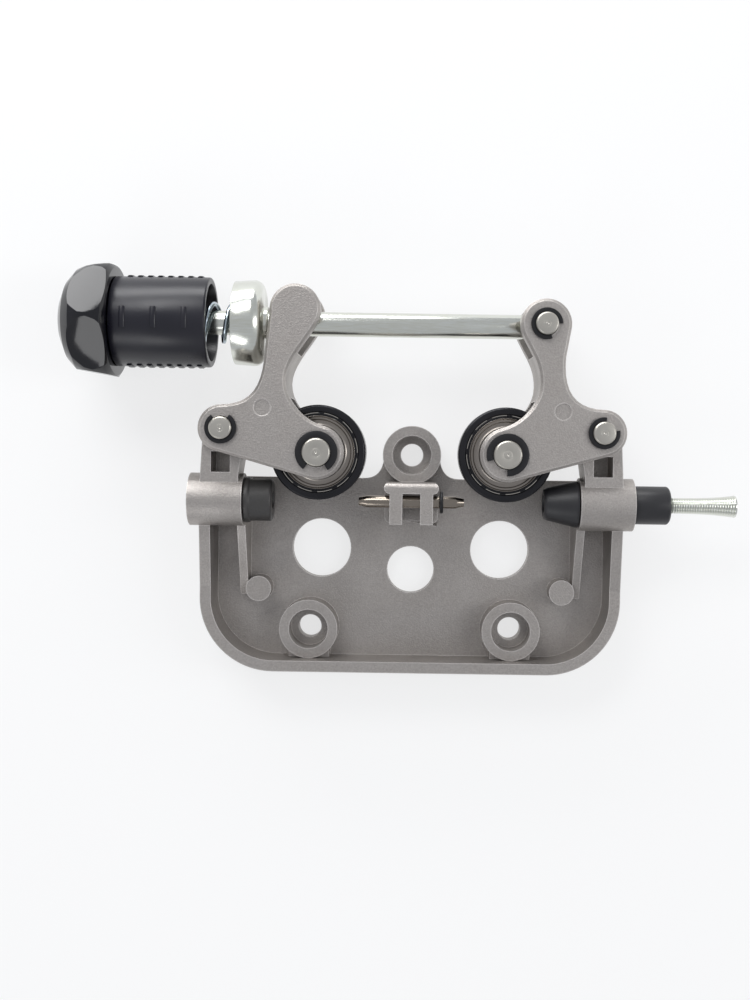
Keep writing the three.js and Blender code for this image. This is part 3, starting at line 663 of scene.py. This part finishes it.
barrel_end, barrel_mouth = reach("knob_barrel", 0)
barrel_radius = 16.2
barrel_bore = 13.9
bore_draft = 0.3
barrel_floor = barrel_end + 3.6
mouth_lip = 0.4
insert_hole = 7.3
turned_piece(
    "grip_barrel",
    [
        (insert_hole, barrel_end), (barrel_radius, barrel_end), (barrel_radius, barrel_mouth - mouth_lip),
        (barrel_radius - mouth_lip, barrel_mouth), (barrel_bore, barrel_mouth),
        (barrel_bore - bore_draft, barrel_floor), (insert_hole, barrel_floor),
    ],
    grip_black, ["knob_barrel"], rod_line, "X", steps=96, edge=0.25,
)

mark_count = 8
mark_pitch = 3.6
mark_first = barrel_end + 4.0
mark_width = 1.9
mark_rise = 0.45
mark_shoulder = mark_rise * 0.4
mark_bevel = 0.4
mark_root = 0.3  # below the grip's surface
mark_reach = math.radians(26)
mark_steps = 8
every_third = 3
mark_section = (
    (barrel_radius - mark_root, 0), (barrel_radius + mark_shoulder, 0), (barrel_radius + mark_rise, mark_bevel),
    (barrel_radius + mark_rise, mark_width - mark_bevel), (barrel_radius + mark_shoulder, mark_width),
    (barrel_radius - mark_root, mark_width),
)
for row, heading in (("upper", math.pi / 2), ("lower", -math.pi / 2), ("back", 0.0), ("front", math.pi)):
    bm = bmesh.new()
    for number in range(mark_count):
        if row in ("front", "back") and number % every_third:
            continue
        place = mark_first + number * mark_pitch
        section = [bm.verts.new((radius * mm, 0, (place + offset) * mm)) for radius, offset in mark_section]
        end = bm.faces.new(section)
        bmesh.ops.rotate(bm, verts=section, cent=(0, 0, 0), matrix=Matrix.Rotation(-mark_reach / 2, 3, "Z"))
        bmesh.ops.spin(
            bm, geom=[end, *section, *end.edges], cent=(0, 0, 0), axis=(0, 0, 1), angle=mark_reach,
            steps=mark_steps,
        )
    bmesh.ops.remove_doubles(bm, verts=bm.verts, dist=spin_merge)
    bmesh.ops.recalc_face_normals(bm, faces=bm.faces)
    bmesh.ops.rotate(bm, verts=bm.verts, cent=(0, 0, 0), matrix=Matrix.Rotation(heading, 3, "Z"))
    bmesh.ops.rotate(bm, verts=bm.verts, cent=(0, 0, 0), matrix=Matrix.Rotation(math.pi / 2, 3, "Y"))
    bmesh.ops.translate(bm, verts=bm.verts, vec=rod_line)
    keep_piece(f"grip_marks_{row}", bm, grip_black, "knob_barrel")

# ---------------------------------------------------------------- cap
# The knob's cap is a glossy black moulding, pressed over the grip's end. It is a flat dome, cut by six flats
# that lean towards its tip, with softly rounded edges.

cap_black = surface(
    "cap_plastic", (0.002, 0.002, 0.004), 0.0, 0.08, 1.2 * mm, 0.004 * mm, (0.004, 0.004, 0.007), 0.02
)

cap_tip, cap_rim = reach("knob_cap", 0)
cap_depth = cap_rim - cap_tip
cap_radius = 21.6
cap_flat = 19.0  # from the axis to a flat at the cap's widest place
widest_at = 0.3  # as a share of the depth, from the rim
cap_socket = 6
cap_edge = 0.45 * mm
flat_lean = math.radians(9)
lean_out, lean_back = math.cos(flat_lean), -math.sin(flat_lean)
# The dome from rim to tip, as shares of the radius and the depth.
dome_shape = (
    (0.9, 0.0), (0.985, 0.06), (1.0, 0.14), (1.0, 0.3), (0.965, 0.45), (0.87, 0.65), (0.7, 0.82), (0.46, 0.94),
    (0.2, 0.99), (0.0, 1.0),
)
bm = bmesh.new()
dome = [bm.verts.new((cap_radius * wide * mm, 0, -cap_depth * deep * mm)) for wide, deep in dome_shape]
dome.append(bm.verts.new((0, 0, -cap_socket * mm)))
dome.append(bm.verts.new((insert_hole * mm, 0, -cap_socket * mm)))
dome.append(bm.verts.new((insert_hole * mm, 0, 0)))
for here, there in zip(dome, dome[1:] + dome[:1]):
    if here.co.x > 0 or there.co.x > 0:
        bm.edges.new((here, there))
bmesh.ops.spin(
    bm, geom=bm.verts[:] + bm.edges[:], cent=(0, 0, 0), axis=(0, 0, 1), angle=math.tau,
    steps=120, use_merge=True,
)
bmesh.ops.remove_doubles(bm, verts=bm.verts, dist=spin_merge)
for degrees in range(30, 360, 60):
    turn = math.radians(degrees)
    outward = Vector((math.cos(turn) * lean_out, math.sin(turn) * lean_out, lean_back))
    on_flat = Vector((math.cos(turn), math.sin(turn), 0)) * cap_flat * mm
    on_flat = on_flat + Vector((0, 0, -widest_at * cap_depth * mm))
    cut = bmesh.ops.bisect_plane(
        bm, geom=bm.verts[:] + bm.edges[:] + bm.faces[:], plane_co=on_flat, plane_no=outward, clear_outer=True,
        dist=spin_merge,
    )
    rim = [item for item in cut["geom_cut"] if isinstance(item, bmesh.types.BMEdge)]
    bmesh.ops.holes_fill(bm, edges=rim, sides=0)
bmesh.ops.recalc_face_normals(bm, faces=bm.faces)
broken_edges(bm, cap_edge, steeper_than=14, segments=3)
bmesh.ops.rotate(bm, verts=bm.verts, cent=(0, 0, 0), matrix=Matrix.Rotation(math.pi / 2, 3, "Y"))
bmesh.ops.translate(bm, verts=bm.verts, vec=rod_line + Vector((cap_rim * mm, 0, 0)))
keep_piece("hex_cap", bm, cap_black, "knob_cap", smooth=30)

# ---------------------------------------------------------------- insert
# A turned brass insert is pressed into the knob, inside the cap and the grip's floor. Its thread runs on the
# rod, so that turning the knob loads the spring.

insert_brass = surface(
    "insert_brass", (0.60, 0.42, 0.15), 1.0, 0.30, 0.4 * mm, 0.02 * mm, (0.45, 0.32, 0.12), 0.06
)
nut_low, nut_high = reach("threaded_insert", 0)
nut_radius = 7
turned_piece(
    "rod_nut", plain_ring(rod_hole, nut_radius, nut_high, nut_low),
    insert_brass, ["threaded_insert"], rod_line, "X",
)

# ---------------------------------------------------------------- inlet guide
# The wire enters through a turned grey bush with a plain bore, pressed into the boss on the plate's left.
# Its collar stands against the boss's inner face, and its nose reaches towards the rollers.

# Its dark grey is partly the bush's own colour and partly painted shade from the arms and rollers above it.
shaded_guide_grey = surface(
    "shaded_guide_grey", (0.085, 0.082, 0.08), 0.5, 0.40, 0.45 * mm, 0.06 * mm, (0.05, 0.049, 0.048), 0.06
)
wire_line = Vector((0, middle_of("centre_guide_tube").y, middle_of("centre_guide_tube").z))
seat_gap = 0.3
inlet_start, inlet_tip = reach("inlet_bush", 0)
boss_length = 19.5
boss_outer = -inlet_start + seat_gap
boss_inner = boss_outer - boss_length
wire_hole = 3.3
shank = 5.9
collar_shape = ((8.2, 0.3), (8.2, 2), (7.6, 2.4))  # radius and distance from the boss
nose_shape = ((7.6, 0.6), (7.0, 0))  # radius and distance from the tip
turned_piece(
    "inlet_guide",
    [
        (wire_hole, -boss_outer + seat_gap), (shank, -boss_outer + seat_gap), (shank, -boss_inner + seat_gap),
        *((radius, -boss_inner + off) for radius, off in collar_shape),
        *((radius, inlet_tip - off) for radius, off in nose_shape), (wire_hole, inlet_tip),
    ],
    shaded_guide_grey, ["inlet_bush"], wire_line, "X",
)

# ---------------------------------------------------------------- outlet guide and liner
# The wire leaves through a black plastic bush in the boss on the plate's right. The bush holds a liner, wound
# from flat zinc-plated wire, whose coils widen towards its end.

bush_black = surface(
    "bush_plastic", (0.013, 0.013, 0.015), 0.0, 0.42, 0.5 * mm, 0.03 * mm, (0.022, 0.022, 0.025), 0.06
)
outlet_tip, outlet_end = reach("outlet_bush", 0)
outlet_rim, outlet_radius, outlet_bevel = 6.1, 6.9, 0.8
shoulder_shape = ((8.5, 0.3), (8.3, 1.4), (7.2, 6))  # radius and distance from the boss
outlet_nose = ((6.0, 1.4), (5.2, 0))  # radius and distance from the tip
turned_piece(
    "outlet_guide",
    [
        (wire_hole, outlet_end), (outlet_rim, outlet_end), (outlet_radius, outlet_end - outlet_bevel),
        (outlet_radius, boss_outer + seat_gap), (shank, boss_outer + seat_gap), (shank, boss_inner - seat_gap),
        *((radius, boss_inner - off) for radius, off in shoulder_shape),
        *((radius, outlet_tip + off) for radius, off in outlet_nose), (wire_hole, outlet_tip),
    ],
    bush_black, ["outlet_bush"], wire_line, "X",
)

liner_inside, liner_end = reach("outlet_nozzle", 0)
liner_start = outlet_end
liner_radius = 2.9
liner_flare = 1.2
liner_rim, liner_mouth = 3.9, 2.9
liner_bore = 1.7
mouth_depth_from = 8  # the bore starts to widen this far from the bush
coil_count = 26
coil_width = (liner_end - liner_start) / coil_count
# One coil's outline: share of its width, and rise in millimetres.
coil_shape = ((0.06, -0.48), (0.3, -0.06), (0.5, 0), (0.7, -0.06))
liner_profile = [(liner_radius, liner_inside), (liner_radius, liner_start)]
for coil in range(coil_count):
    share_along = (coil + 0.5) / coil_count
    radius = liner_radius + liner_flare * share_along ** 3
    for across, rise in coil_shape:
        liner_profile.append((radius + rise, liner_start + (coil + across) * coil_width))
liner_profile += [
    (liner_rim, liner_end), (liner_mouth, liner_end), (liner_bore, liner_start + mouth_depth_from),
    (liner_bore, liner_inside),
]
turned_piece(
    "flared_liner", liner_profile, zinc, ["outlet_nozzle"], wire_line, "X", steps=48, edge=0, smooth=50,
)

# ---------------------------------------------------------------- guide tube and its stop
# A thin steel tube, drawn down at both ends, guides the wire across the gap between the rollers. It lies in
# the plate's holder, and a black stop ring keeps it from sliding.

# Its colour is darkened so that the tube shows a dark brownish band along its top: a painted reflection.
tube_steel_dark_reflection = surface(
    "tube_steel_dark_reflection", (0.33, 0.29, 0.245), 1.0, 0.15, 0.25 * mm, 0.01 * mm, (0.24, 0.21, 0.18), 0.05,
    stretch=(0.12, 1, 1),
)
tube_end = ((2.2, 16), (2.0, 16.6), (1.5, 19), (1.1, 19))  # radius and distance from the tube's middle
turned_piece(
    "guide_tube", [*((radius, -off) for radius, off in reversed(tube_end)), *tube_end],
    tube_steel_dark_reflection, ["centre_guide_tube"], wire_line, "X", edge=0.1,
)
stop_bore, stop_radius = 2.5, 4
turned_piece(
    "tube_stop_ring", plain_ring(stop_bore, stop_radius, *reach("guide_tube_stop", 0)),
    clip_steel, ["guide_tube_stop"], wire_line, "X", edge=0.3,
)
